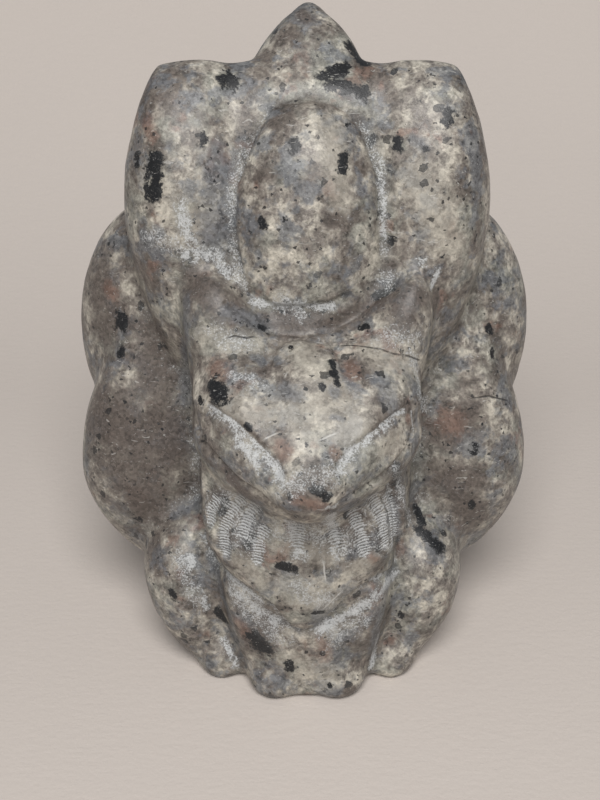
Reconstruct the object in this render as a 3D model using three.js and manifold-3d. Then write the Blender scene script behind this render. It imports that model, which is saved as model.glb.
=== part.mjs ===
// A seated nine-tailed fox, carved from one palm-sized block of speckled grey stone.
// Millimetres: +X to the fox's left, -Y where it looks, +Z up. The flat underside lies on z = 0.
import * as THREE from "three";
import { mergeVertices } from "three/addons/utils/BufferGeometryUtils.js";
import Module from "manifold-3d";

const wasm = await Module();
wasm.setup();

// Every swelling of the carving is a lobe: an oval section swept along a bent spine, root to tip.
// width holds the half widths across x, outer side and inner side, and depth is the half thickness.
// An end is [bluntness, pointedness]: half an ellipse, a leaf's point, a straight taper or a full end.
const round = [2, 0.5];
const leaf = [2, 0.72];
const straight = [1.65, 0.95];
const full = [5, 0.5];

// Tails: three on each side, one up the front between them, one behind that is the peak, one low
// on the back. Right and left differ a little: sway moves a lobe along x, without mirroring.
const upperTail = {
  root: [13, 1, 40], bend: [17.5, 2, 70], tip: [21.5, 9.5, 90.6],
  width: [9.5, 13], depth: 10, tipEnd: [1.8, 0.9], innerTip: [9, 0.4], deepTip: round,
};
const middleTail = {
  root: [14, 12, 20], bend: [26, 9, 43.5], tip: [22, 12, 68.8],
  width: [13.6, 13], depth: 11, sway: -0.4,
};
const lowerTail = {
  root: [12.4, 1, 6], bend: [34.5, 1, 22], tip: [22.3, 3, 60],
  width: [10, 15], depth: 10.5, rootEnd: straight, tipEnd: [1.45, 1], innerTip: round, sway: -0.5,
};
const peakTail = {
  root: [0, 17, 40], bend: [0, 18, 70], tip: [0.3, 17.5, 98],
  width: [10.9, 10.9], depth: 9, tipEnd: leaf,
};
const peakFront = {
  root: [0, 4, 58], bend: [0, 8, 82], tip: [0.3, 17, 97.4],
  width: [10.5, 10.5], depth: 8, tipEnd: leaf, segments: 16,
};
const centreTail = {
  root: [0, -2, 46], bend: [0, -2.5, 68], tip: [0, 4.2, 87.5],
  width: [12.3, 12.3], depth: 9.5, rootEnd: [2.6, 0.5],
};
const backTail = {
  root: [0, 14, -6], bend: [0, 27, 24], tip: [0, 21, 68],
  width: [14, 14], depth: 9, tipEnd: [2, 0.65],
};

// The mass that the tails and limbs stand out from.
const fan = {
  root: [0, 5, 14], bend: [0, 2.5, 58], tip: [0, 9.5, 91.6],
  width: [21.5, 21.5], depth: 10.5, tipEnd: [8, 0.4], deepTip: [2.5, 0.5], segments: 16,
};
const trunk = {
  root: [0, 4, -12], bend: [0, 6, 34], tip: [0, 8, 80],
  width: [24, 24], depth: 17, segments: 16,
};
const chest = {
  root: [0, -4, 58], bend: [0, -14, 36], tip: [0, -6, -6],
  width: [16, 16], depth: 11, rootEnd: full, tipEnd: full, segments: 16,
};
const throat = {
  root: [0, 0, 44], bend: [0, -16, 42], tip: [0, -24.5, 30],
  width: [12.5, 12.5], depth: 6.5,
};

// The head: a wide skull that ends in the jaw, and the flat mask of the face that lies on it.
const skull = {
  root: [0, 2, 46], bend: [0, -16, 48.2], tip: [0, -30.8, 38.3],
  width: [16.8, 16.8], depth: 10, rootEnd: full, tipEnd: [2.4, 0.9], deepTip: round,
  segments: 24, rings: 16,
};
const face = {
  root: [0, -3, 52.6], bend: [0, -17, 53.4], tip: [0, -31.9, 40.9],
  width: [16.6, 16.6], depth: 5.8, rootEnd: [9, 0.45], tipEnd: [1.5, 0.9], deepTip: round,
  segments: 24, rings: 16,
};
const cheek = {
  root: [9.6, -3.5, 54], bend: [9, -17, 53.4], tip: [4.8, -30.5, 41],
  width: [7.5, 7], depth: 5.4, rootEnd: [9, 0.45], tipEnd: [1.5, 0.9], deepTip: round,
  segments: 16, rings: 12,
};
const muzzle = {
  root: [0, -14, 50], bend: [0, -25, 48.5], tip: [0, -32.6, 40.4],
  width: [6, 6], depth: 4, tipEnd: [5, 0.5], segments: 16, rings: 10,
};
const forehead = {
  root: [0.4, -8.5, 52.3], bend: [0.4, -16, 53.6], tip: [0, -25, 45],
  width: [9, 9], depth: 5.9, rootEnd: [3, 0.5], segments: 16, rings: 10,
};
// The right ear is cut square and the left one slants outward.
const rightEar = {
  root: [10.8, -5.5, 33], bend: [12, -9.8, 54], tip: [13.4, -6.8, 64.9],
  width: [5.5, 10], depth: 7, rootEnd: full, tipEnd: [6, 0.42], innerTip: [1.5, 0.9],
  deepTip: round, rings: 12,
};
const leftEar = {
  root: [10.8, -5.5, 33], bend: [12.6, -9.8, 54], tip: [15.6, -6.8, 65.5],
  width: [4.6, 9.4], depth: 7, rootEnd: full, tipEnd: [2.4, 0.5], innerTip: [1.3, 1],
  deepTip: round, rings: 12,
};

// The bib of fur on the chest, the forelegs in one block with their paws, the haunches and the hind feet.
const bib = {
  root: [0, -13, 50], bend: [0, -22.6, 30], tip: [0, -21.4, 12.4],
  width: [15.4, 15.4], depth: 5.5, rootEnd: full, tipEnd: [1.5, 1], deepTip: full, segments: 32, sway: -0.5,
};
const forelegs = {
  root: [0, -10, 36], bend: [0, -19.6, 14], tip: [0, -14.5, -7],
  width: [12.2, 12.2], depth: 9, rootEnd: full, deepTip: full, segments: 24,
};
const foreleg = {
  root: [9, -10, 36], bend: [11, -15.5, 20], tip: [7, -17, 0],
  width: [4.2, 4.2], depth: 8.5,
};
const forepaw = {
  root: [4.8, -10, 5], bend: [4.8, -20, 5], tip: [4.6, -24.8, 0],
  width: [4.9, 4.9], depth: 4, tipEnd: [3, 0.5], segments: 16, rings: 10,
};
const haunch = {
  root: [13, -5, 28], bend: [22.9, -7, 16], tip: [14.4, -16, 1],
  width: [7.3, 9], depth: 9, rootEnd: straight, tipEnd: [1.8, 0.58], sway: -0.6,
};
const hindFoot = {
  root: [14.5, -4, 1], bend: [15, -13, 7], tip: [13.2, -20, -0.5],
  width: [4.6, 7], depth: 4.5, segments: 16, rings: 10,
};

// Grooves are thin lobes cut away. The mouth runs from beside the nose up to the cheek.
const mouth = {
  root: [14.6, -20.4, 50.9], bend: [7.9, -28.6, 49.2], tip: [3.4, -31.3, 45.9],
  width: [0.9, 0.9], depth: 0.9, segments: 8, rings: 8,
};
// The bib's fur is a row of burr strokes fanned out from the throat. top and bottom are places
// along the bib, which rise towards its sides, and the steps are shares of its half width.
const furStrokes = {
  count: 9, top: 0.42, topRise: 0.026, topStep: 0.19, bottom: 0.57, bottomRise: 0.014, bottomStep: 0.22,
  radius: 1, segments: 8, rings: 6,
};

// The underside is cut by a block wider and deeper than the carving.
const groundBlock = { across: 200, deep: 50 };
const stoneGrey = 0x8f8a82;
const mergeWithin = 1e-4;

// The share of the full reach at s along the spine: 0 at the root, 1 half way, 0 at the tip.
function swell(s, rootEnd, tipEnd) {
  const [blunt, point] = s < 0.5 ? rootEnd : tipEnd;
  return Math.max(0, 1 - Math.abs(2 * s - 1) ** blunt) ** point;
}

// The point of a lobe's skin at s along its spine and at turn round it, counted from its +X side.
// side is 1 for the fox's left and -1 for the mirror image.
function skinPoint(lobe, side, s, turn) {
  const { root, bend, tip, width, depth, rootEnd = round, tipEnd = round, sway = 0 } = lobe;
  const { innerTip = tipEnd, deepTip = tipEnd } = lobe;
  const place = ([x, y, z]) => new THREE.Vector3(side * x + sway, y, z);
  const spine = new THREE.QuadraticBezierCurve3(place(root), place(bend), place(tip));
  const along = spine.getTangent(s);
  const wide = new THREE.Vector3(1, 0, 0).addScaledVector(along, -along.x).normalize();
  const deep = new THREE.Vector3().crossVectors(along, wide);
  const outer = side * Math.cos(turn) >= 0;
  const wideReach = Math.cos(turn) * width[outer ? 0 : 1] * swell(s, rootEnd, outer ? tipEnd : innerTip);
  const deepReach = Math.sin(turn) * depth * swell(s, rootEnd, deepTip);
  return spine.getPoint(s).addScaledVector(wide, wideReach).addScaledVector(deep, deepReach);
}

// A sphere's grid laid onto the lobe: its poles are the root and the tip.
function lobeSolid(lobe, side = 1) {
  const { segments = 20, rings = 13 } = lobe;
  const geometry = new THREE.SphereGeometry(1, segments, rings);
  const position = geometry.getAttribute("position");
  const point = new THREE.Vector3();
  for (let i = 0; i < position.count; i++) {
    point.fromBufferAttribute(position, i);
    const s = THREE.MathUtils.clamp((1 - point.y) / 2, 0, 1);
    point.copy(skinPoint(lobe, side, s, Math.atan2(point.z, point.x)));
    position.setXYZ(i, point.x, point.y, point.z);
  }
  return solidOf(geometry);
}

function solidOf(geometry) {
  geometry.deleteAttribute("normal");
  geometry.deleteAttribute("uv");
  const merged = mergeVertices(geometry, mergeWithin);
  const vertProperties = merged.getAttribute("position").array;
  const triVerts = new Uint32Array(merged.index.array);
  return new wasm.Manifold(new wasm.Mesh({ numProp: 3, vertProperties, triVerts }));
}

function furStroke(index) {
  const { count, top, topRise, topStep, bottom, bottomRise, bottomStep } = furStrokes;
  const { radius, segments, rings } = furStrokes;
  const fromMiddle = index - (count - 1) / 2;
  const upper = top - topRise * Math.abs(fromMiddle);
  const lower = bottom - bottomRise * Math.abs(fromMiddle);
  const onBib = (s, step) => skinPoint(bib, 1, s, Math.acos(fromMiddle * step)).toArray();
  const root = onBib(upper, topStep);
  const bend = onBib((upper + lower) / 2, (topStep + bottomStep) / 2);
  const tip = onBib(lower, bottomStep);
  return lobeSolid({ root, bend, tip, width: [radius, radius], depth: radius, segments, rings });
}

function carveFox() {
  let fox = lobeSolid(trunk);
  const middleTails = [centreTail, peakTail, peakFront, backTail];
  const headAndBody = [chest, throat, fan, skull, face, forehead, muzzle, forelegs, bib];
  const onBothSides = [lowerTail, middleTail, upperTail, cheek, foreleg, haunch, hindFoot, forepaw];
  for (const lobe of [...middleTails, ...headAndBody]) fox = fox.add(lobeSolid(lobe));
  for (const lobe of onBothSides) fox = fox.add(lobeSolid(lobe, 1)).add(lobeSolid(lobe, -1));
  fox = fox.add(lobeSolid(leftEar, 1)).add(lobeSolid(rightEar, -1));
  fox = fox.subtract(lobeSolid(mouth, 1)).subtract(lobeSolid(mouth, -1));
  for (let i = 0; i < furStrokes.count; i++) fox = fox.subtract(furStroke(i));
  const { across, deep } = groundBlock;
  const ground = new THREE.BoxGeometry(across, across, deep).translate(0, 0, -deep / 2);
  return fox.subtract(solidOf(ground)).getMesh();
}

const carved = carveFox();
const geometry = new THREE.BufferGeometry();
geometry.setAttribute("position", new THREE.BufferAttribute(carved.vertProperties, carved.numProp));
geometry.setIndex(new THREE.BufferAttribute(carved.triVerts, 1));
const stone = new THREE.MeshStandardMaterial({ color: stoneGrey, roughness: 0.35, metalness: 0 });
const carving = new THREE.Mesh(geometry, stone);
carving.name = "fox_carving";

// The origin goes under the middle of the carving.
geometry.computeBoundingBox();
const middle = geometry.boundingBox.getCenter(new THREE.Vector3());
geometry.translate(-middle.x, -middle.y, 0);

const group = new THREE.Group();
group.add(carving);
export default group;
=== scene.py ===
# A seated nine-tailed fox, carved from one palm-sized block of speckled grey stone.
# Sizes are in millimetres until a mesh is finished. +X is the fox's left and it looks along -Y.
import math
from types import SimpleNamespace
import bpy
import numpy as np
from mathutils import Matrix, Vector, noise
from mathutils.bvhtree import BVHTree


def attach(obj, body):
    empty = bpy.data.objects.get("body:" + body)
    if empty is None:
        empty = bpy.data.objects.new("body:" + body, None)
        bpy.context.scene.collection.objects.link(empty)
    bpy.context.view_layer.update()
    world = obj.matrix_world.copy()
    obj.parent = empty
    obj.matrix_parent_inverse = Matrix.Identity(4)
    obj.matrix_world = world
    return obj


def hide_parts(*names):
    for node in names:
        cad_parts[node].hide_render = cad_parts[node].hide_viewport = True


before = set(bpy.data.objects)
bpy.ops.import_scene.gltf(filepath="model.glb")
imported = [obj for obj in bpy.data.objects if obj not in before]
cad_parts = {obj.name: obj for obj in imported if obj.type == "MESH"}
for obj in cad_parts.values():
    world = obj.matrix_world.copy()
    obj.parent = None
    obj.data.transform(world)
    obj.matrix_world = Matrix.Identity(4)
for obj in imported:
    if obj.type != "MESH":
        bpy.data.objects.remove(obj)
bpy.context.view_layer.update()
mm = 0.001


# The camera stands where the photograph was taken, and carving marks are placed through its picture.
view = {"aim": (-0.55, 1.04, 39.9), "distance": 205, "elevation": 30, "focalPixels": 1298,
        "picture": (600, 800)}
elevation = math.radians(view["elevation"])
viewAim = Vector(view["aim"])
viewFrom = viewAim + view["distance"] * Vector((0, -math.cos(elevation), math.sin(elevation)))
viewAlong = (viewAim - viewFrom).normalized()
viewRight = Vector((1, 0, 0))
viewUp = viewRight.cross(viewAlong)


def makeCamera():
    width, height = view["picture"]
    bpy.ops.object.camera_add(location=viewFrom * mm, rotation=(math.pi / 2 - elevation, 0, 0))
    camera = bpy.context.object
    camera.name = "camera"
    camera.data.sensor_width = 36
    camera.data.lens = camera.data.sensor_width * view["focalPixels"] / max(width, height)
    camera.data.clip_start = 0.01
    bpy.context.scene.camera = camera


def rayThrough(px, py):
    width, height = view["picture"]
    across = (px - width / 2) / view["focalPixels"]
    upward = (height / 2 - py) / view["focalPixels"]
    return (viewAlong + viewRight * across + viewUp * upward).normalized()


makeCamera()
print("camera made")


# Each swelling of the carving is a lobe, an oval section swept along a bent spine. Its width is how far it
# reaches to the outer side and to the inner one. An end is two powers: how full it stays, and how it closes.
roundEnd = (2, 0.5)
leafEnd = (2, 0.72)
straightEnd = (1.65, 0.95)
fullEnd = (5, 0.5)
lobeDefaults = {"rootEnd": roundEnd, "tipEnd": roundEnd, "sway": 0, "segments": 64, "rings": 48}
carvingMiddle = (0.48, 1.04, 0)  # moves the lobes' origin to the point under the middle of the carving

singleLobes = {
    "trunk": {"root": (0, 4, -12), "bend": (0, 6, 34), "tip": (0, 8, 80), "width": (24, 24), "depth": 17},
    "fan": {"root": (0, 5, 14), "bend": (0, 2.5, 58), "tip": (0, 9.5, 91.6), "width": (21.5, 21.5),
            "depth": 10.5, "tipEnd": (8, 0.4), "deepTip": (2.5, 0.5)},
    "centreTail": {"root": (0, -2, 46), "bend": (0, -2.5, 68), "tip": (0, 4.2, 87.5),
                   "width": (12.3, 12.3), "depth": 9.5, "rootEnd": (2.6, 0.5)},
    "peakTail": {"root": (0, 17, 40), "bend": (0, 18, 70), "tip": (0.3, 17.5, 98), "width": (10.9, 10.9),
                 "depth": 9, "tipEnd": leafEnd},
    "peakFront": {"root": (0, 4, 58), "bend": (0, 8, 82), "tip": (0.3, 17, 97.4), "width": (10.5, 10.5),
                  "depth": 8, "tipEnd": leafEnd},
    "backTail": {"root": (0, 14, -6), "bend": (0, 27, 24), "tip": (0, 21, 68), "width": (14, 14),
                 "depth": 9, "tipEnd": (2, 0.65)},
    "chest": {"root": (0, -4, 58), "bend": (0, -14, 36), "tip": (0, -6, -6), "width": (16, 16),
              "depth": 11, "rootEnd": fullEnd, "tipEnd": fullEnd},
    "throat": {"root": (0, 0, 44), "bend": (0, -16, 42), "tip": (0, -24.5, 30), "width": (12.5, 12.5),
               "depth": 6.5},
    "skull": {"root": (0, 2, 46), "bend": (0, -16, 48.2), "tip": (0, -30.8, 38.3), "width": (16.8, 16.8),
              "depth": 10, "rootEnd": fullEnd, "tipEnd": (2.4, 0.9), "deepTip": roundEnd},
    "face": {"root": (0, -3, 52.6), "bend": (0, -17, 53.4), "tip": (0, -31.9, 40.9), "width": (16.6, 16.6),
             "depth": 5.8, "rootEnd": (9, 0.45), "tipEnd": (1.5, 0.9), "deepTip": roundEnd},
    "muzzle": {"root": (0, -14, 50), "bend": (0, -25, 48.5), "tip": (0, -32.6, 40.4), "width": (6, 6),
               "depth": 4, "tipEnd": (5, 0.5)},
    "forehead": {"root": (0.4, -8.5, 52.3), "bend": (0.4, -16, 53.6), "tip": (0, -25, 45), "width": (9, 9),
                 "depth": 5.9, "rootEnd": (3, 0.5)},
    "forelegs": {"root": (0, -10, 36), "bend": (0, -19.6, 14), "tip": (0, -14.5, -7),
                 "width": (12.2, 12.2), "depth": 9, "rootEnd": fullEnd, "deepTip": fullEnd},
    "bib": {"root": (0, -13, 50), "bend": (0, -22.6, 30), "tip": (0, -21.4, 12.4), "width": (15.4, 15.4),
            "depth": 5.5, "rootEnd": fullEnd, "tipEnd": (1.5, 1), "deepTip": fullEnd, "sway": -0.5},
}
pairedLobes = {
    "lowerTail": {"root": (12.4, 1, 6), "bend": (34.5, 1, 22), "tip": (22.3, 3, 60), "width": (10, 15),
                  "depth": 10.5, "rootEnd": straightEnd, "tipEnd": (1.45, 1), "innerTip": roundEnd,
                  "sway": -0.5},
    "middleTail": {"root": (14, 12, 20), "bend": (26, 9, 43.5), "tip": (22, 12, 68.8), "width": (13.6, 13),
                   "depth": 11, "sway": -0.4},
    "upperTail": {"root": (13, 1, 40), "bend": (17.5, 2, 70), "tip": (21.5, 9.5, 90.6), "width": (9.5, 13),
                  "depth": 10, "tipEnd": (1.8, 0.9), "innerTip": (9, 0.4), "deepTip": roundEnd},
    "cheek": {"root": (9.6, -3.5, 54), "bend": (9, -17, 53.4), "tip": (4.8, -30.5, 41), "width": (7.5, 7),
              "depth": 5.4, "rootEnd": (9, 0.45), "tipEnd": (1.5, 0.9), "deepTip": roundEnd},
    "foreleg": {"root": (9, -10, 36), "bend": (11, -15.5, 20), "tip": (7, -17, 0), "width": (4.2, 4.2),
                "depth": 8.5},
    "haunch": {"root": (13, -5, 28), "bend": (22.9, -7, 16), "tip": (14.4, -16, 1), "width": (7.3, 9),
               "depth": 9, "rootEnd": straightEnd, "tipEnd": (1.8, 0.58), "sway": -0.6},
    "hindFoot": {"root": (14.5, -4, 1), "bend": (15, -13, 7), "tip": (13.2, -20, -0.5), "width": (4.6, 7),
                 "depth": 4.5},
    "forepaw": {"root": (4.8, -10, 5), "bend": (4.8, -20, 5), "tip": (4.6, -24.8, 0), "width": (4.9, 4.9),
                "depth": 4, "tipEnd": (3, 0.5)},
}
ears = {
    "rightEar": {"root": (10.8, -5.5, 33), "bend": (12, -9.8, 54), "tip": (13.4, -6.8, 64.9),
                 "width": (5.5, 10), "depth": 7, "rootEnd": fullEnd, "tipEnd": (6, 0.42),
                 "innerTip": (1.5, 0.9), "deepTip": roundEnd},
    "leftEar": {"root": (10.8, -5.5, 33), "bend": (12.6, -9.8, 54), "tip": (15.6, -6.8, 65.5),
                "width": (4.6, 9.4), "depth": 7, "rootEnd": fullEnd, "tipEnd": (2.4, 0.5),
                "innerTip": (1.3, 1), "deepTip": roundEnd},
}


def swell(s, rootEnd, tipEnd):
    blunt = np.where(s < 0.5, rootEnd[0], tipEnd[0])
    point = np.where(s < 0.5, rootEnd[1], tipEnd[1])
    return np.maximum(0, 1 - np.abs(2 * s - 1) ** blunt) ** point


def layOnLobe(unitPoints, shape, side):
    lobe = {**lobeDefaults, **shape}
    s = np.clip((1 - unitPoints[:, 2]) / 2, 0, 1)
    turn = np.arctan2(-unitPoints[:, 1], unitPoints[:, 0])
    root, bend, tip = (np.array((side * x + lobe["sway"], y, z)) + carvingMiddle
                       for x, y, z in (lobe["root"], lobe["bend"], lobe["tip"]))
    t = s[:, None]
    spine = (1 - t) ** 2 * root + 2 * t * (1 - t) * bend + t ** 2 * tip
    along = (1 - t) * (bend - root) + t * (tip - bend)
    along /= np.linalg.norm(along, axis=1, keepdims=True)
    wide = np.array((1, 0, 0)) - along * along[:, :1]
    wide /= np.linalg.norm(wide, axis=1, keepdims=True)
    deep = np.cross(along, wide)
    outer = side * np.cos(turn) >= 0
    tipEnd = lobe["tipEnd"]
    innerTip = lobe.get("innerTip", tipEnd)
    outerReach = lobe["width"][0] * swell(s, lobe["rootEnd"], tipEnd)
    innerReach = lobe["width"][1] * swell(s, lobe["rootEnd"], innerTip)
    wideReach = np.cos(turn) * np.where(outer, outerReach, innerReach)
    deepReach = np.sin(turn) * lobe["depth"] * swell(s, lobe["rootEnd"], lobe.get("deepTip", tipEnd))
    return spine + wide * wideReach[:, None] + deep * deepReach[:, None]


def readPoints(mesh):
    flat = np.empty(len(mesh.vertices) * 3)
    mesh.vertices.foreach_get("co", flat)
    return flat.reshape(-1, 3)


def writePoints(mesh, points):
    mesh.vertices.foreach_set("co", np.ascontiguousarray(points).ravel())
    mesh.update()


def addLobe(name, shape, side=1):
    lobe = {**lobeDefaults, **shape}
    bpy.ops.object.select_all(action="DESELECT")
    bpy.ops.mesh.primitive_uv_sphere_add(segments=lobe["segments"], ring_count=lobe["rings"], radius=1)
    piece = bpy.context.object
    piece.name = name
    writePoints(piece.data, layOnLobe(readPoints(piece.data), shape, side))
    return piece


def applyModifier(piece, kind, **settings):
    modifier = piece.modifiers.new(kind.lower(), kind)
    for key, value in settings.items():
        setattr(modifier, key, value)
    bpy.context.view_layer.objects.active = piece
    bpy.ops.object.modifier_apply(modifier=modifier.name)


# The blank is made in millimetres and scaled to metres at the end.
blankForm = {"voxel": 0.62, "filletReach": 1.1, "smoothing": 0.5, "smoothingSteps": 5}


def carveBlank():
    lobes = [addLobe(name, shape) for name, shape in singleLobes.items()]
    for name, shape in pairedLobes.items():
        lobes += [addLobe(name + "Left", shape, 1), addLobe(name + "Right", shape, -1)]
    lobes += [addLobe("leftEar", ears["leftEar"], 1), addLobe("rightEar", ears["rightEar"], -1)]
    bpy.ops.object.select_all(action="DESELECT")
    for lobe in lobes:
        lobe.select_set(True)
    bpy.context.view_layer.objects.active = lobes[0]
    bpy.ops.object.join()
    blank = bpy.context.object
    blank.name = "carved_fox"
    voxel = blankForm["voxel"]
    reach = blankForm["filletReach"]
    applyModifier(blank, "REMESH", mode="VOXEL", voxel_size=voxel)
    bpy.ops.object.mode_set(mode="EDIT")
    bpy.ops.mesh.select_all(action="SELECT")
    bpy.ops.mesh.bisect(plane_co=(0, 0, 0), plane_no=(0, 0, 1), clear_inner=True, use_fill=True)
    bpy.ops.object.mode_set(mode="OBJECT")
    applyModifier(blank, "REMESH", mode="VOXEL", voxel_size=voxel)
    applyModifier(blank, "DISPLACE", direction="NORMAL", mid_level=0, strength=reach)
    applyModifier(blank, "REMESH", mode="VOXEL", voxel_size=voxel)
    applyModifier(blank, "DISPLACE", direction="NORMAL", mid_level=0, strength=-reach)
    applyModifier(blank, "REMESH", mode="VOXEL", voxel_size=voxel)
    applyModifier(blank, "SMOOTH", factor=blankForm["smoothing"], iterations=blankForm["smoothingSteps"])
    return blank


fox = carveBlank()
print("blank carved:", len(fox.data.polygons), "faces")


# Chisel and burr marks. Each line is drawn through pixels of the photograph and falls on the skin behind
# them. Their sizes are in millimetres. A step drops on the right-hand side of its line: edge is how tight it
# is on the high side, and slope is how far the low side takes to rise back to the skin.
steps = {
    "rightMouth": {"line": ((204, 402), (215, 410), (233, 421), (251, 437), (269, 455), (285, 475)),
                   "depth": 0.55, "edge": 0.45, "slope": 2.6, "dust": 1},
    "leftMouth": {"line": ((335, 475), (341, 461), (351, 450), (373, 432), (391, 418), (410, 405)),
                  "depth": 0.5, "edge": 0.45, "slope": 2.5, "dust": 0.9},
    "forehead": {"line": ((346, 377), (342, 359), (332, 342), (300, 337), (283, 340), (271, 352),
                          (267, 370)),
                 "depth": 0.5, "edge": 0.6, "slope": 1.8, "dust": 0.25},
    "jaw": {"line": ((197, 418), (203, 441), (221, 462), (239, 480), (260, 493), (275, 506), (287, 514),
                     (309, 517), (326, 513), (336, 505), (350, 495), (371, 483), (389, 469), (406, 449),
                     (415, 425)),
            "depth": 0.5, "edge": 0.3, "slope": 1.5, "dust": 0.2},
    "crown": {"line": ((402, 284), (380, 297), (354, 318), (330, 331), (302, 333), (275, 333), (260, 328),
                       (238, 309), (222, 302)),
              "depth": 0.4, "edge": 0.4, "slope": 2, "dust": 0},
    "bibEdge": {"line": ((212, 487), (201, 505), (205, 542), (216, 563), (225, 572), (250, 590),
                         (271, 605), (291, 628), (303, 631), (316, 630), (347, 598), (367, 583),
                         (393, 570), (398, 545), (397, 513), (388, 483)),
                "depth": 0.6, "edge": 0.4, "slope": 2, "dust": 0.75},
    "centreTailEdge": {"line": ((384, 262), (382, 225), (380, 174), (371, 149), (364, 129), (349, 112),
                                (334, 102), (309, 98), (284, 102), (269, 109), (259, 124), (249, 144),
                                (242, 164), (234, 187), (232, 224), (236, 255), (246, 290), (273, 308),
                                (305, 309), (330, 305), (356, 292)),
                       "depth": 0.55, "edge": 0.6, "slope": 2.6, "dust": 0.1},
}
# The fur of the bib is a fan of burr strokes. The fine rungs across them are in the stone's material.
furStroke = {"halfWidth": 1.8, "depth": 0.5, "dust": 1.15, "rungPitch": 0.47, "lines": (
    ((220, 493), (210, 508), (208, 530)), ((243, 496), (231, 512), (222, 532), (225, 560)),
    ((256, 504), (248, 518), (241, 544)), ((268, 522), (258, 543), (257, 570)), ((300, 523), (298, 556)),
    ((333, 525), (338, 554)), ((352, 509), (360, 530), (367, 562)), ((372, 496), (382, 515), (388, 550)),
    ((386, 490), (394, 510), (397, 545)))}
legGroove = {"halfWidth": 1.5, "depth": 0.3, "dust": 0.1, "lines": (((298, 640), (300, 662), (303, 696)),)}

grooveFloor = 1.1  # above 1, a groove keeps a flat floor

# The faces behind this part of the picture, which most marks cross, are divided twice. Once all marks are
# in, the whole skin is thinned to the triangle limit, which takes most from where it is nearly flat.
fineRegion = {"low": (185, 282), "high": (432, 645), "front": -8, "passes": 2}
triangleLimit = 190000
polishedSkin = {"broad": (6, 0.14), "fine": (2.4, 0.05)}  # size and height of the hand polish's waves
groundedBelow = 0.3  # skin lower than this lies flat on the table


def toPicture(points):
    width, height = view["picture"]
    away = points - np.array(viewFrom)
    depth = away @ np.array(viewAlong)
    px = width / 2 + view["focalPixels"] * (away @ np.array(viewRight)) / depth
    py = height / 2 - view["focalPixels"] * (away @ np.array(viewUp)) / depth
    return np.stack((px, py), axis=1)


def divideFineRegion():
    mesh = fox.data
    bpy.ops.object.mode_set(mode="EDIT")
    bpy.ops.mesh.select_all(action="DESELECT")
    bpy.ops.mesh.select_mode(type="FACE")
    bpy.ops.object.mode_set(mode="OBJECT")
    centres = np.empty(len(mesh.polygons) * 3)
    mesh.polygons.foreach_get("center", centres)
    centres = centres.reshape(-1, 3)
    facing = np.empty(len(mesh.polygons) * 3)
    mesh.polygons.foreach_get("normal", facing)
    seen = facing.reshape(-1, 3) @ np.array(viewAlong) < 0
    pixels = toPicture(centres)
    inside = np.all((pixels > fineRegion["low"]) & (pixels < fineRegion["high"]), axis=1)
    mesh.polygons.foreach_set("select", inside & seen & (centres[:, 1] < fineRegion["front"]))
    bpy.ops.object.mode_set(mode="EDIT")
    bpy.ops.mesh.subdivide(number_cuts=1, smoothness=1)
    bpy.ops.object.mode_set(mode="OBJECT")


def skinUnder(skin, pixel):
    return skin.ray_cast(viewFrom, rayThrough(*pixel))[0]


def traceOnSkin(skin, line, spacing=2):
    corners = [Vector(pixel) for pixel in line]
    traced = []
    for start, end in zip(corners, corners[1:]):
        count = max(1, round((end - start).length / spacing))
        traced += [skinUnder(skin, start.lerp(end, i / count)) for i in range(count)]
    traced.append(skinUnder(skin, corners[-1]))
    return np.array([tuple(hit) for hit in traced if hit])


# Which points lie in the box round a path, how far from it they are, how far along it, and on which side of
# it: 1 is the right-hand side as the camera sees it.
def measureFrom(points, path, reach):
    boxed = (points > path.min(axis=0) - reach) & (points < path.max(axis=0) + reach)
    near = np.nonzero(np.all(boxed, axis=1))[0]
    distance = np.full(len(near), np.inf)
    along = np.zeros(len(near))
    side = np.ones(len(near))
    travelled = 0
    for start, end in zip(path, path[1:]):
        span = end - start
        length = np.linalg.norm(span)
        offset = points[near] - start
        share = np.clip(offset @ span / length ** 2, 0, 1)
        away = np.linalg.norm(offset - share[:, None] * span, axis=1)
        closer = away < distance
        distance = np.where(closer, away, distance)
        along = np.where(closer, travelled + share * length, along)
        side = np.where(closer, np.sign(np.cross(span, offset) @ np.array(viewAlong)), side)
        travelled += length
    return near, distance, along, side, travelled


def ease(share):
    share = np.clip(share, 0, 1)
    return share * share * (3 - 2 * share)


def endTaper(along, length, taper=1.5):
    return ease(along / taper) * ease((length - along) / taper)


def readNormals(mesh):
    flat = np.empty(len(mesh.vertices) * 3)
    mesh.vertex_normals.foreach_get("vector", flat)
    return flat.reshape(-1, 3)


def readEdges(mesh):
    flat = np.empty(len(mesh.edges) * 2, dtype=np.int64)
    mesh.edges.foreach_get("vertices", flat)
    return flat.reshape(-1, 2)


def keep(mesh, name, values):
    mesh.attributes.new(name, "FLOAT", "POINT").data.foreach_set("value", values)


def spread(values, edges, rounds):
    first, second = edges.T
    count = len(values)
    neighbours = np.bincount(edges.ravel(), minlength=count)[:, None]
    for _ in range(rounds):
        sums = [np.bincount(first, column[second], count) + np.bincount(second, column[first], count)
                for column in values.T]
        values = np.stack(sums, axis=1) / neighbours
    return values


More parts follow.
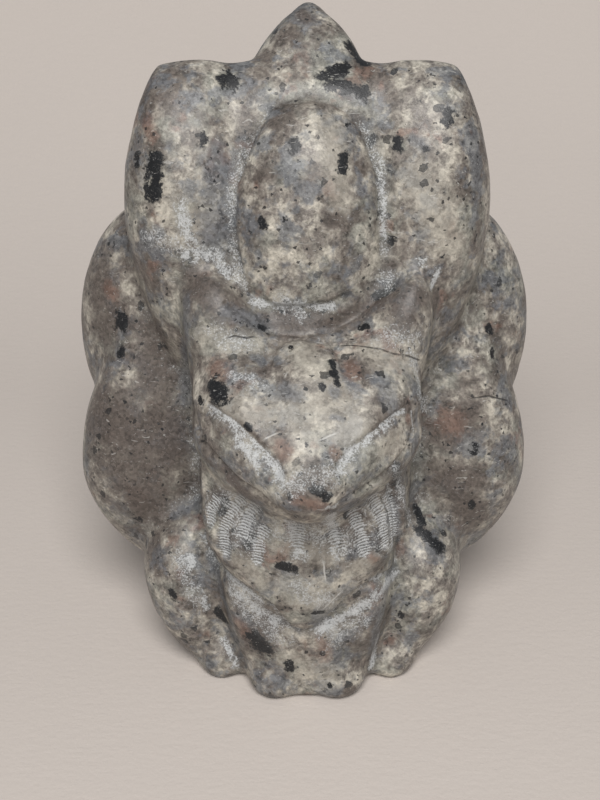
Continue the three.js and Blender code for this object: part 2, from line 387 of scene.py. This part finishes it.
def carveMarks(mesh, skin):
    points = readPoints(mesh)
    normals = readNormals(mesh)
    drop = np.zeros(len(points))
    dust = np.zeros(len(points))
    strokeRun = np.zeros(len(points))
    strokeMask = np.zeros(len(points))
    for step in steps.values():
        path = traceOnSkin(skin, step["line"])
        near, distance, along, side, length = measureFrom(points, path, step["slope"])
        low = 1 - ease(distance / step["slope"])
        high = np.exp(-(distance / step["edge"]) ** 2)
        profile = np.where(side > 0, low, high) * endTaper(along, length)
        drop[near] += step["depth"] * profile
        dust[near] = np.maximum(dust[near], step["dust"] * np.where(side > 0, profile, profile ** 3))
    for groove in (furStroke, legGroove):
        for line in groove["lines"]:
            path = traceOnSkin(skin, line)
            near, distance, along, side, length = measureFrom(points, path, groove["halfWidth"])
            fullness = grooveFloor - grooveFloor * distance / groove["halfWidth"]
            profile = ease(fullness) * endTaper(along, length)
            drop[near] += groove["depth"] * profile
            dust[near] = np.maximum(dust[near], groove["dust"] * profile)
            if groove is furStroke:
                inside = profile > strokeMask[near]
                strokeRun[near] = np.where(inside, along, strokeRun[near])
                strokeMask[near] = np.maximum(strokeMask[near], profile)
    points -= normals * drop[:, None]
    for size, height in polishedSkin.values():
        points += normals * np.array([[height * noise.noise(Vector(point) / size)] for point in points])
    points[points[:, 2] < groundedBelow, 2] = 0
    writePoints(mesh, points)
    keep(mesh, "markDust", dust)
    keep(mesh, "strokeRun", strokeRun)
    keep(mesh, "strokeMask", strokeMask)


# Marks of colour, some of them partly painted shade. A spot is drawn from one pixel to another, and its last
# number is its radius in millimetres.
spots = {
    "darkSpot": ((155, 160, 153, 194, 1.5), (137, 158, 137, 164, 0.8), (229, 79, 229, 81, 1.6),
                 (326, 76, 344, 68, 1.3), (330, 84, 362, 92, 1.2), (352, 48, 362, 62, 1.2),
                 (448, 112, 448, 122, 1), (203, 135, 203, 141, 0.8), (295, 142, 294, 150, 0.8),
                 (344, 156, 342, 168, 0.9), (371, 137, 371, 142, 0.7), (397, 141, 398, 147, 0.9),
                 (426, 150, 427, 151, 0.6), (262, 221, 263, 227, 0.7), (391, 238, 391, 243, 0.6),
                 (375, 296, 392, 290, 0.7), (214, 387, 220, 398, 1.5), (200, 398, 201, 402, 0.5),
                 (247, 426, 250, 429, 0.6), (306, 442, 308, 446, 0.5), (314, 490, 326, 497, 0.9),
                 (331, 362, 332, 364, 0.6), (332, 372, 334, 374, 0.7), (337, 382, 338, 384, 0.5),
                 (291, 347, 292, 351, 0.4), (323, 386, 323, 387, 0.6), (305, 387, 306, 389, 0.35),
                 (362, 327, 366, 326, 0.7), (260, 326, 263, 328, 0.5), (121, 316, 121, 326, 1.2),
                 (121, 348, 121, 353, 0.8), (397, 468, 397, 484, 0.8), (416, 510, 422, 522, 0.8),
                 (420, 530, 440, 548, 1), (489, 328, 489, 331, 0.8), (492, 353, 492, 356, 0.7),
                 (473, 446, 473, 451, 0.8), (472, 503, 472, 506, 0.7), (226, 500, 223, 512, 0.8),
                 (253, 536, 247, 546, 0.8), (279, 565, 293, 569, 0.8), (346, 512, 347, 516, 0.6),
                 (254, 637, 264, 648, 1.6), (288, 664, 291, 669, 0.9), (313, 613, 323, 612, 0.4),
                 (400, 614, 403, 616, 0.5), (172, 592, 174, 595, 0.8), (220, 612, 224, 619, 0.9),
                 (329, 684, 331, 686, 0.4)),
    # The blue spots are partly the stone's grey-blue patches and partly painted shade in the crown valley
    # and in the gaps beside the head, legs and haunches.
    "blueAndShadeSpot": ((384, 382, 392, 404, 1.6), (334, 392, 336, 394, 0.9), (256, 358, 262, 362, 0.9),
                 (282, 390, 296, 396, 1.3), (234, 212, 234, 222, 0.9), (334, 268, 344, 272, 0.9),
                 (332, 416, 342, 419, 0.5), (414, 140, 424, 148, 0.9), (216, 160, 214, 245, 2.6),
                 (346, 90, 360, 100, 1.2), (212, 556, 236, 640, 1.1), (394, 560, 372, 650, 1.1),
                 (176, 515, 200, 500, 1), (186, 300, 186, 400, 1.2), (228, 312, 262, 324, 1.2),
                 (392, 500, 398, 540, 0.8)),
    "rustSpot": ((216, 366, 221, 374, 1.6), (281, 448, 286, 453, 1.3), (334, 450, 337, 456, 0.9),
                 (296, 500, 318, 504, 1), (386, 336, 388, 346, 0.9), (449, 420, 451, 424, 2.2),
                 (146, 124, 152, 136, 1.2), (350, 366, 352, 376, 1.2), (110, 288, 113, 294, 1.2),
                 (262, 545, 268, 560, 0.9), (370, 556, 376, 560, 0.7), (322, 640, 326, 655, 1.2),
                 (238, 622, 246, 634, 1.2)),
    # The brown spots are partly the stone's brown patches and partly painted shade on the ears, the crown
    # valley and the side tails.
    "brownAndShadeSpot": ((198, 286, 236, 312, 3.6), (402, 314, 418, 296, 2.8), (260, 320, 340, 322, 1.7),
                  (350, 314, 392, 296, 2), (110, 420, 150, 500, 7), (150, 330, 170, 460, 4),
                  (100, 270, 105, 330, 4), (250, 640, 262, 630, 2), (300, 14, 308, 18, 1.4),
                  (440, 430, 470, 420, 3), (450, 480, 470, 520, 4), (225, 470, 250, 500, 1.4),
                  (396, 470, 400, 520, 2)),
    "paleSpot": ((420, 260, 423, 262, 0.8), (430, 288, 439, 271, 0.6), (413, 430, 411, 412, 0.3),
                 (151, 177, 151, 178, 0.35), (204, 600, 206, 606, 0.9), (190, 556, 192, 566, 0.8),
                 (186, 256, 214, 252, 1.2), (216, 256, 230, 276, 1), (254, 303, 330, 306, 0.9),
                 (328, 508, 336, 506, 0.6), (234, 592, 276, 620, 1.6), (322, 632, 366, 604, 1.4),
                 (376, 598, 394, 574, 1.2), (180, 205, 190, 240, 1.2), (268, 458, 285, 482, 1.1),
                 (338, 472, 352, 450, 1.1), (290, 522, 300, 556, 1.3), (330, 516, 338, 552, 1.3),
                 (228, 572, 262, 602, 0.9), (382, 160, 384, 240, 0.6), (370, 668, 378, 636, 0.8),
                 (236, 666, 224, 640, 0.8), (258, 466, 240, 440, 1.2)),
    "veilSpot": ((228, 500, 250, 540, 3), (290, 530, 350, 540, 3.4), (372, 500, 388, 540, 2.6),
                 (285, 484, 330, 474, 2.2), (212, 332, 250, 346, 1.6), (386, 336, 416, 338, 1.6),
                 (284, 300, 300, 312, 1.6), (300, 590, 330, 600, 2), (240, 600, 280, 640, 2),
                 (330, 640, 360, 620, 2), (180, 560, 195, 600, 1.6), (236, 376, 262, 384, 1.2),
                 (412, 350, 424, 410, 1.2), (150, 236, 186, 250, 1.6), (396, 470, 410, 520, 1.2)),
    "creamSpot": ((290, 590, 330, 600, 2.4), (240, 560, 262, 580, 1.6), (352, 570, 372, 560, 1.6),
                  (280, 540, 330, 556, 2), (285, 660, 330, 676, 2), (372, 350, 404, 366, 2.2),
                  (300, 408, 350, 424, 3), (226, 404, 270, 416, 2.4), (310, 370, 330, 372, 1.6),
                  (300, 350, 340, 400, 2.4), (206, 336, 250, 344, 2), (345, 440, 360, 430, 2),
                  (290, 410, 310, 440, 2), (386, 448, 396, 440, 1.6), (420, 180, 450, 240, 3),
                  (150, 180, 190, 220, 2.6), (330, 130, 340, 200, 2)),
}
# Fine dark cracks and pale scratches, each a line through pixels of the photograph.
cracks = {
    "leftBrow": ((337, 346), (352, 345), (367, 347), (380, 349), (394, 354), (408, 356), (421, 361)),
    "leftBrowBranch": ((405, 346), (401, 357)),
    "rightBrow": ((225, 339), (234, 336), (246, 338), (257, 336)),
    "tail": ((470, 399), (488, 396), (509, 401)),
}
scratches = {
    "bib": ((322, 610), (331, 602), (343, 590)),
    "chest": ((323, 560), (326, 583)),
    "cheek": ((318, 441), (339, 432)),
    "cheekLow": ((262, 440), (280, 432)),
    "brow": ((284, 379), (288, 371)),
}
spotReach = 3  # a spot's mark is worked out this many radii round it, and is minus this beyond
lineMark = {"reach": 1.2, "taper": 0.8, "fade": 2.5}  # a drawn line's reach, end taper and speed of fading
hollowScale = {"fine": 8, "broad": 60}  # rounds of smoothing that the skin is compared with


def markSpots(mesh, skin, name, shapes):
    points = readPoints(mesh)
    nearest = np.full(len(points), float(-spotReach))
    for fromX, fromY, toX, toY, radius in shapes:
        path = traceOnSkin(skin, ((fromX, fromY), (toX, toY)))
        near, distance, *_ = measureFrom(points, path, radius * spotReach)
        nearest[near] = np.maximum(nearest[near], 1 - distance / radius)
    keep(mesh, name, nearest)


def markLines(mesh, skin, name, lines):
    reach = lineMark["reach"]
    points = readPoints(mesh)
    signed = np.full(len(points), reach)
    share = np.zeros(len(points))
    for line in lines.values():
        near, distance, along, side, length = measureFrom(points, traceOnSkin(skin, line), reach)
        closer = distance < np.abs(signed[near])
        taper = endTaper(along, length, lineMark["taper"])
        fade = taper * ease(lineMark["fade"] - lineMark["fade"] * distance / reach)
        signed[near] = np.where(closer, distance * side, signed[near])
        share[near] = np.where(closer, fade, share[near])
    keep(mesh, name + "Side", signed)
    keep(mesh, name + "Reach", share)


def markHollows(mesh):
    points = readPoints(mesh)
    normals = readNormals(mesh)
    edges = readEdges(mesh)
    for name, rounds in hollowScale.items():
        lifted = np.sum((spread(points, edges, rounds) - points) * normals, axis=1)
        keep(mesh, name + "Hollow", lifted)


def skinOf(mesh):
    return BVHTree.FromPolygons(readPoints(mesh).tolist(), [tuple(face.vertices) for face in mesh.polygons])


for _ in range(fineRegion["passes"]):
    divideFineRegion()
carveMarks(fox.data, skinOf(fox.data))
print("marks carved:", len(fox.data.polygons), "faces")

skin = skinOf(fox.data)
for name, shapes in spots.items():
    markSpots(fox.data, skin, name, shapes)
markLines(fox.data, skin, "crack", cracks)
markLines(fox.data, skin, "scratch", scratches)
markHollows(fox.data)
print("colour marks placed")

trianglesNow = 2 * len(fox.data.polygons)  # nearly every face has four corners
applyModifier(fox, "DECIMATE", ratio=triangleLimit / trianglesNow)
print("skin thinned:", len(fox.data.polygons), "faces")


# A shader socket that sums, differences and products can be written with.
class Signal:
    def __init__(self, graph, socket):
        self.graph = graph
        self.socket = socket

    def math(self, operation, *others):
        return self.graph.add("ShaderNodeMath", {"operation": operation}, self, *others)

    def __add__(self, other):
        return self.math("ADD", other)

    def __sub__(self, other):
        return self.math("SUBTRACT", other)

    def __mul__(self, other):
        return self.math("MULTIPLY", other)

    def __rsub__(self, other):
        return self * -1 + other

    __radd__ = __add__
    __rmul__ = __mul__

    def greater(self, other):
        return self.math("MAXIMUM", other)

    # 0 below low, 1 above high and a smooth rise between, or the other way round where high is the lower.
    def rise(self, low, high):
        settings = {"interpolation_type": "SMOOTHSTEP"}
        if low < high:
            return self.graph.add("ShaderNodeMapRange", settings, self, low, high, 0, 1)
        return self.graph.add("ShaderNodeMapRange", settings, self, high, low, 1, 0)


class Graph:
    def __init__(self, name):
        self.material = bpy.data.materials.new(name)
        self.material.use_nodes = True
        self.tree = self.material.node_tree
        self.shader = self.tree.nodes["Principled BSDF"]

    def feed(self, entry, value):
        if isinstance(value, Signal):
            self.tree.links.new(value.socket, entry)
        elif value is not None:
            entry.default_value = value

    # Adds a node: its type, its settings, then the values or links of its sockets, in order or by name.
    def add(self, kind, settings, *values, output=0, **named):
        node = self.tree.nodes.new(kind)
        for key, value in settings.items():
            setattr(node, key, value)
        for entry, value in zip(node.inputs, values):
            self.feed(entry, value)
        for key, value in named.items():
            self.feed(node.inputs[key.replace("_", " ")], value)
        return Signal(self, node.outputs[output])

    # Object coordinates in millimetres.
    def place(self):
        inMetres = self.add("ShaderNodeTexCoord", {}, output="Object")
        return self.add("ShaderNodeVectorMath", {"operation": "SCALE"}, inMetres, Scale=1 / mm)

    def shifted(self, place, offset):
        return self.add("ShaderNodeVectorMath", {"operation": "ADD"}, place, offset)

    def noise(self, place, size, detail=3, roughness=0.55, output="Fac"):
        return self.add("ShaderNodeTexNoise", {}, Vector=place, Scale=1 / size, Detail=detail,
                        Roughness=roughness, output=output)

    def cells(self, place, size, output="Color"):
        return self.add("ShaderNodeTexVoronoi", {}, Vector=place, Scale=1 / size, output=output)

    def stretched(self, place, turn, scale):
        return self.add("ShaderNodeMapping", {}, place, (0, 0, 0), turn, scale)

    def warped(self, place, size, reach):
        push = self.noise(place, size, 2, output="Color")
        centred = self.add("ShaderNodeVectorMath", {"operation": "SUBTRACT"}, push, (0.5, 0.5, 0.5))
        scaled = self.add("ShaderNodeVectorMath", {"operation": "SCALE"}, centred, Scale=2 * reach)
        return self.shifted(place, scaled)

    def red(self, colour):
        return self.add("ShaderNodeSeparateColor", {}, colour)

    def green(self, colour):
        return self.add("ShaderNodeSeparateColor", {}, colour, output=1)

    def mark(self, name):
        return self.add("ShaderNodeAttribute", {"attribute_name": name}, output="Fac")

    def mix(self, share, one, other):
        node = self.tree.nodes.new("ShaderNodeMix")
        node.data_type = "RGBA"
        for entry, value in ((node.inputs[0], share), (node.inputs[6], one), (node.inputs[7], other)):
            self.feed(entry, value)
        return Signal(self, node.outputs[2])

    def brightened(self, colour, factor):
        return self.add("ShaderNodeVectorMath", {"operation": "SCALE"}, colour, Scale=factor)


stone = {
    "taupe": (0.205, 0.182, 0.162, 1), "umber": (0.105, 0.086, 0.075, 1), "cream": (0.44, 0.41, 0.35, 1),
    "sage": (0.27, 0.275, 0.24, 1), "slate": (0.125, 0.134, 0.148, 1), "rust": (0.19, 0.117, 0.09, 1),
    "frost": (0.62, 0.635, 0.64, 1), "ash": (0.2, 0.205, 0.2, 1), "quartz": (0.6, 0.59, 0.56, 1),
    "black": (0.01, 0.011, 0.013, 1),
    "crystalSize": 1, "crystalWarp": (0.8, 0.35), "fleckSize": 0.4, "fleckWarp": (0.35, 0.16),
    "beddingWarp": (2.2, 0.9),
    "polish": 0.4, "chalk": 0.8, "bumpStrength": 0.8, "bumpDepth": 0.00009,
}
# Fields of noise in the stone, with sizes in millimetres. Those that flow follow its warped bedding.
stoneFields = {
    "patch": {"flows": True, "offset": (0, 0, 0), "size": 7, "detail": 4, "roughness": 0.6},
    "mottle": {"flows": True, "offset": (31, 7, 3), "size": 2.4, "detail": 5, "roughness": 0.65},
    "slate": {"flows": True, "offset": (-13, 22, 9), "size": 5, "detail": 4, "roughness": 0.65},
    "cluster": {"flows": True, "offset": (3, 19, -8), "size": 4.2, "detail": 4, "roughness": 0.7},
    "tint": {"flows": False, "offset": (5, 41, 17), "size": 9, "detail": 3, "roughness": 0.6},
    "rust": {"flows": False, "offset": (17, -23, 31), "size": 6.5, "detail": 3, "roughness": 0.6},
    "powder": {"flows": False, "offset": (11, 3, 29), "size": 0.7, "detail": 5, "roughness": 0.75},
    "granule": {"flows": False, "offset": (9, 9, 2), "size": 0.25, "detail": 3, "roughness": 0.75},
    "shred": {"flows": False, "offset": (4, 8, 15), "size": 1.3, "detail": 3, "roughness": 0.65},
    "broken": {"flows": False, "offset": (6, 2, 40), "size": 1.6, "detail": 3, "roughness": 0.6},
    "polish": {"flows": False, "offset": (1, 2, 3), "size": 3, "detail": 3, "roughness": 0.6},
}
# How each kind of coloured spot is laid on: how ragged it is, the rise at its edge, its share of the tone,
# and how bright the facets, flecks and powder make it.
spotFinish = {
    "creamSpot": {"tone": "cream", "ragged": 0.7, "rise": (-0.6, 0.7), "share": 0.5,
                  "facet": 0.3, "fleck": 0.3, "powder": 0, "light": 0.7},
    # Brown spots: umber stone colour, and painted shade on the ears, the crown valley and the side tails.
    "brownAndShadeSpot": {"tone": "umber", "ragged": 0.6, "rise": (-0.5, 0.8), "share": 0.9,
                  "facet": 0, "fleck": 0.6, "powder": 1, "light": 0.15},
    "rustSpot": {"tone": "rust", "ragged": 0.8, "rise": (-0.5, 0.7), "share": 0.65,
                 "facet": 0, "fleck": 0.5, "powder": 0, "light": 0.8},
    # Blue spots: slate stone colour, and painted shade in the crown valley and in the gaps beside the head,
    # legs and haunches.
    "blueAndShadeSpot": {"tone": "slate", "ragged": 0.8, "rise": (-0.5, 0.6), "share": 0.65,
                 "facet": 0, "fleck": 0.9, "powder": 0, "light": 0.55},
}
# Pale hairlines run through the stone in three directions.
hairlines = {
    "runs": (
        {"turn": (0.3, 0.5, 0.6), "offset": (0, 0, 0)},
        {"turn": (0.9, -0.4, 2.1), "offset": (7, 3, 1)},
        {"turn": (-0.5, 0.2, -0.9), "offset": (2, 9, 5)},
    ),
    "stretch": (0.14, 2.6, 2.6), "rise": (0.735, 0.76),
}


def readGrain(graph):
    place = graph.place()
    bedding = graph.warped(place, *stone["beddingWarp"])
    grain = SimpleNamespace(bedding=bedding)
    for name, field in stoneFields.items():
        shifted = graph.shifted(bedding if field["flows"] else place, field["offset"])
        setattr(grain, name, graph.noise(shifted, field["size"], field["detail"], field["roughness"]))
    crystals = graph.cells(graph.warped(place, *stone["crystalWarp"]), stone["crystalSize"])
    flecks = graph.cells(graph.warped(place, *stone["fleckWarp"]), stone["fleckSize"])
    grain.facet = graph.red(crystals)
    grain.facetKind = graph.green(crystals)
    grain.fleck = graph.red(flecks)
    grain.fleckKind = graph.green(flecks)
    # What makes the edge of a drawn spot ragged.
    grain.ragged = (grain.facet - 0.5) * 0.2 + (grain.shred - 0.5) * 2.6 + (grain.powder - 0.5) * 2
    return grain


# The stone's own colours, from the broad patches to the fine flecks, with painted shade darkening its broad
# hollows.
def ownColourWithShade(graph, grain):
    colour = graph.mix(grain.mottle.rise(0.38, 0.66), stone["taupe"], stone["cream"])
    colour = graph.mix(grain.tint.rise(0.5, 0.62) * 0.65, colour, stone["sage"])
    colour = graph.mix(grain.patch.rise(0.54, 0.38) * 0.85, colour, stone["umber"])
    pale = grain.patch * 0.6 + grain.mottle * 0.4 + grain.facet * 0.06
    colour = graph.mix(pale.rise(0.56, 0.64) * 0.7, colour, stone["cream"])
    colour = graph.mix((grain.slate + grain.facet * 0.08).rise(0.53, 0.66) * 0.75, colour, stone["slate"])
    colour = graph.mix((grain.rust + grain.facet * 0.05).rise(0.63, 0.72) * 0.65, colour, stone["rust"])
    sparkle = grain.facet * 0.3 + grain.fleck * 0.45 + grain.powder * 1.9 + grain.mottle * 1.6 - 1.12
    colour = graph.brightened(colour, sparkle)
    # Painted shade: the broad hollows are made up to about a third darker.
    return graph.brightened(colour, 1 - graph.mark("broadHollow").rise(0.1, 1.3) * 0.35)


def withSpots(graph, grain, colour):
    for name, finish in spotFinish.items():
        drawn = (graph.mark(name) + grain.ragged * finish["ragged"]).rise(*finish["rise"])
        light = grain.facet * finish["facet"] + grain.fleck * finish["fleck"]
        light = light + grain.powder * finish["powder"] + finish["light"]
        tone = graph.brightened(stone[finish["tone"]][:3], light)
        colour = graph.mix(drawn * finish["share"], colour, tone)
    return colour


# Black mica: angular clusters, single flakes and specks everywhere, and the dark spots of the photograph.
def blackMica(graph, grain):
    cluster = (grain.cluster + grain.facet * 0.1 + grain.powder * 0.1).rise(0.8, 0.84)
    flake = grain.facet.rise(0.955, 0.965) * grain.facetKind.rise(0.8, 0.85) * 0.8
    speck = grain.fleck.rise(0.06, 0.04) * grain.fleckKind.rise(0.7, 0.75) * 0.8
    drawn = (graph.mark("darkSpot") + grain.ragged).rise(-0.15, 0.3)
    black = cluster.greater(flake).greater(speck).greater(drawn)
    return black * (1 - grain.granule.rise(0.6, 0.7) * 0.5)


# Carving dust is left in the hollows, on the burred marks and in pale veils.
def carvingDust(graph, grain):
    hollow = graph.mark("fineHollow") * 2.4 + graph.mark("broadHollow") * 0.3
    hollowDust = (hollow + (grain.powder - 0.5) * 1.5 + (grain.mottle - 0.5) * 1.6).rise(0.3, 1.3) * 0.6
    drift = (grain.powder - 0.5) * 1.6 + (grain.shred - 0.5) * 1.6
    markDust = (graph.mark("markDust") + drift).rise(0.1, 1.2)
    pale = (graph.mark("paleSpot") + grain.ragged).rise(-0.5, 1)
    veil = (graph.mark("veilSpot") + grain.ragged * 1.2).rise(-0.6, 1) * 0.65
    return hollowDust.greater(markDust).greater(pale).greater(veil)


def furRungs(graph, grain):
    turn = graph.mark("strokeRun") * (2 * math.pi / furStroke["rungPitch"]) + grain.shred * 9
    return turn.math("SINE") * graph.mark("strokeMask")


def drawnLine(graph, name, halfWidth):
    return graph.mark(name + "Side").math("ABSOLUTE").rise(halfWidth, 0.05) * graph.mark(name + "Reach")


def paleHairs(graph, grain):
    hairs = 0
    for run in hairlines["runs"]:
        shifted = graph.shifted(grain.bedding, run["offset"])
        strands = graph.stretched(shifted, run["turn"], hairlines["stretch"])
        hairs = graph.noise(strands, 1, 1, 0.5).rise(*hairlines["rise"]) + hairs
    return hairs


def speckledStone():
    graph = Graph("speckledStone")
    grain = readGrain(graph)
    dust = carvingDust(graph, grain)
    rungs = furRungs(graph, grain)
    hairs = paleHairs(graph, grain)
    crack = drawnLine(graph, "crack", 0.16) * grain.broken.rise(0.35, 0.5)
    scratch = drawnLine(graph, "scratch", 0.18)

    colour = withSpots(graph, grain, ownColourWithShade(graph, grain))
    colour = graph.mix(blackMica(graph, grain), colour, stone["black"])
    # Dust dulls the stone, and its granules frost it.
    colour = graph.mix(dust * 0.55, colour, stone["ash"])
    sprinkle = (grain.slate - 0.5) * 0.5 + 0.1
    frosting = ((grain.granule - 0.5) * 3.2 + sprinkle + dust * 0.95 + rungs * 0.45).rise(0.5, 1.1)
    frost = graph.brightened(stone["frost"][:3], grain.powder * 0.8 + 0.6)
    colour = graph.mix(frosting * 0.75, colour, frost)
    colour = graph.mix(crack * 0.7, colour, stone["black"])
    colour = graph.mix(scratch * 0.7, colour, stone["quartz"])
    colour = graph.mix(hairs * (1 - dust) * 0.4, colour, stone["quartz"])

    rough = grain.polish * 0.16 + stone["polish"] - 0.08 + dust * (stone["chalk"] - stone["polish"])
    relief = grain.fleck * 0.45 + grain.powder * 0.7 + grain.granule * dust * 1.8 + rungs
    relief = relief + grain.mottle * 0.5 - crack * 2.5 - hairs * 0.3
    bump = graph.add("ShaderNodeBump", {}, Strength=stone["bumpStrength"], Distance=stone["bumpDepth"],
                     Height=relief)
    graph.feed(graph.shader.inputs["Base Color"], colour)
    graph.feed(graph.shader.inputs["Roughness"], rough)
    graph.feed(graph.shader.inputs["Normal"], bump)
    return graph.material


writePoints(fox.data, readPoints(fox.data) * mm)
bpy.ops.object.select_all(action="DESELECT")
fox.select_set(True)
bpy.ops.object.shade_smooth()
fox.data.materials.append(speckledStone())
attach(fox, "root")
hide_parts("fox_carving")
print("stone finished:", sum(len(face.vertices) - 2 for face in fox.data.polygons), "triangles")


# The stage: pale cloth that runs up behind the carving, and soft light from above the camera. Its sizes are
# in metres, but for the cloth's grain.
cloth = {"across": 3, "front": -1.2, "foldAt": 0.075, "foldRadius": 0.16, "foldTurn": 58, "rows": 160,
         "colour": (0.612, 0.556, 0.512, 1), "grainSize": 1.1}
softbox = {"place": (0, -0.45, 0.65), "aim": (0, 0, 0.045), "size": 0.46, "energy": 5.6,
           "colour": (1, 0.985, 0.97)}
room = {"colour": (0.98, 0.985, 1, 1), "strength": 0.2}


def paleCloth():
    graph = Graph("paleCloth")
    place = graph.place()
    creases = graph.noise(graph.stretched(place, (0, 0, 0), (0.35, 1, 1)), cloth["grainSize"], 3, 0.6)
    pores = graph.cells(graph.warped(place, 1, 0.5), 0.8, output="Distance")
    shade = graph.noise(place, 60, 2, 0.5) * 0.05 + creases * 0.035 + 0.955
    relief = creases * 1.2 - pores * 0.5
    graph.feed(graph.shader.inputs["Base Color"], graph.brightened(cloth["colour"][:3], shade))
    graph.feed(graph.shader.inputs["Roughness"], 0.75)
    graph.feed(graph.shader.inputs["Normal"],
               graph.add("ShaderNodeBump", {}, Strength=0.5, Distance=0.00012, Height=relief))
    return graph.material


# A flat sheet whose far edge is bent up round part of a circle, no higher than the camera sees.
def makeCloth():
    back = cloth["foldAt"] + cloth["foldRadius"] * math.radians(cloth["foldTurn"])
    bpy.ops.mesh.primitive_grid_add(x_subdivisions=4, y_subdivisions=cloth["rows"], size=1)
    sheet = bpy.context.object
    sheet.name = "clothSweep"
    points = readPoints(sheet.data)
    points[:, 0] *= cloth["across"]
    run = cloth["front"] + (points[:, 1] + 0.5) * (back - cloth["front"])
    turn = np.maximum(run - cloth["foldAt"], 0) / cloth["foldRadius"]
    points[:, 1] = np.minimum(run, cloth["foldAt"]) + cloth["foldRadius"] * np.sin(turn)
    points[:, 2] = cloth["foldRadius"] * (1 - np.cos(turn))
    writePoints(sheet.data, points)
    bpy.ops.object.shade_smooth()
    sheet.data.materials.append(paleCloth())


def makeLights():
    bpy.ops.object.light_add(type="AREA", location=softbox["place"])
    lamp = bpy.context.object
    lamp.name = "softbox"
    lamp.data.shape = "DISK"
    lamp.data.size = softbox["size"]
    lamp.data.energy = softbox["energy"]
    lamp.data.color = softbox["colour"]
    lamp.rotation_euler = (Vector(softbox["aim"]) - lamp.location).to_track_quat("-Z", "Y").to_euler()
    world = bpy.data.worlds.new("softRoom")
    world.use_nodes = True
    background = world.node_tree.nodes["Background"]
    background.inputs["Color"].default_value = room["colour"]
    background.inputs["Strength"].default_value = room["strength"]
    bpy.context.scene.world = world
    bpy.context.scene.view_settings.view_transform = "Standard"


makeCloth()
makeLights()
print("stage made")
